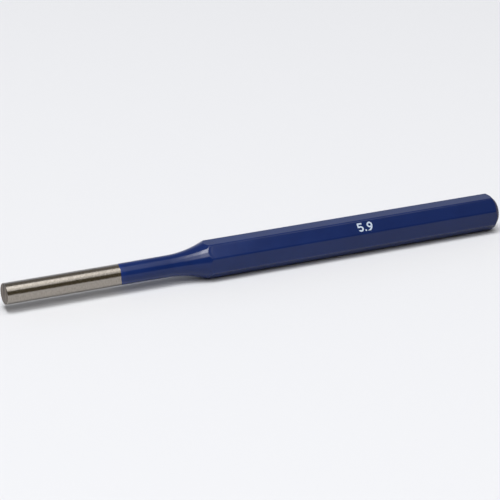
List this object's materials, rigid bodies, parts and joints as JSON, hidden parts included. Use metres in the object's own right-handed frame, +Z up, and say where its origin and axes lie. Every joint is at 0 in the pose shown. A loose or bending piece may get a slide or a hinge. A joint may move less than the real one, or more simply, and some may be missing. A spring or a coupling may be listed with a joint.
{
  "type": "pin punch",
  "caption": "Pin punch with a long straight ground pin, a hollow flare and an octagonal lacquered shank with a bevelled struck end.",
  "frame": {"origin": "on the surface that the punch lies on, under the middle of its length", "axes": "+X along the punch from the tip towards the struck end, +Z up, away from the flat that it lies on, -Y towards the side of the printed numerals"},
  "size_m": [0.15, 0.01, 0.0101],
  "materials": {
    "tool_steel": "ground bright, with fine marks round the pin",
    "blue_lacquer": "gloss dip lacquer, dark blue",
    "white_ink": "thin pad-printed ink, satin"
  },
  "bodies": {
    "root": {"steel_bar": "tool_steel", "lacquer_coat": "blue_lacquer", "size_mark": "white_ink"}
  },
  "joints": []
}
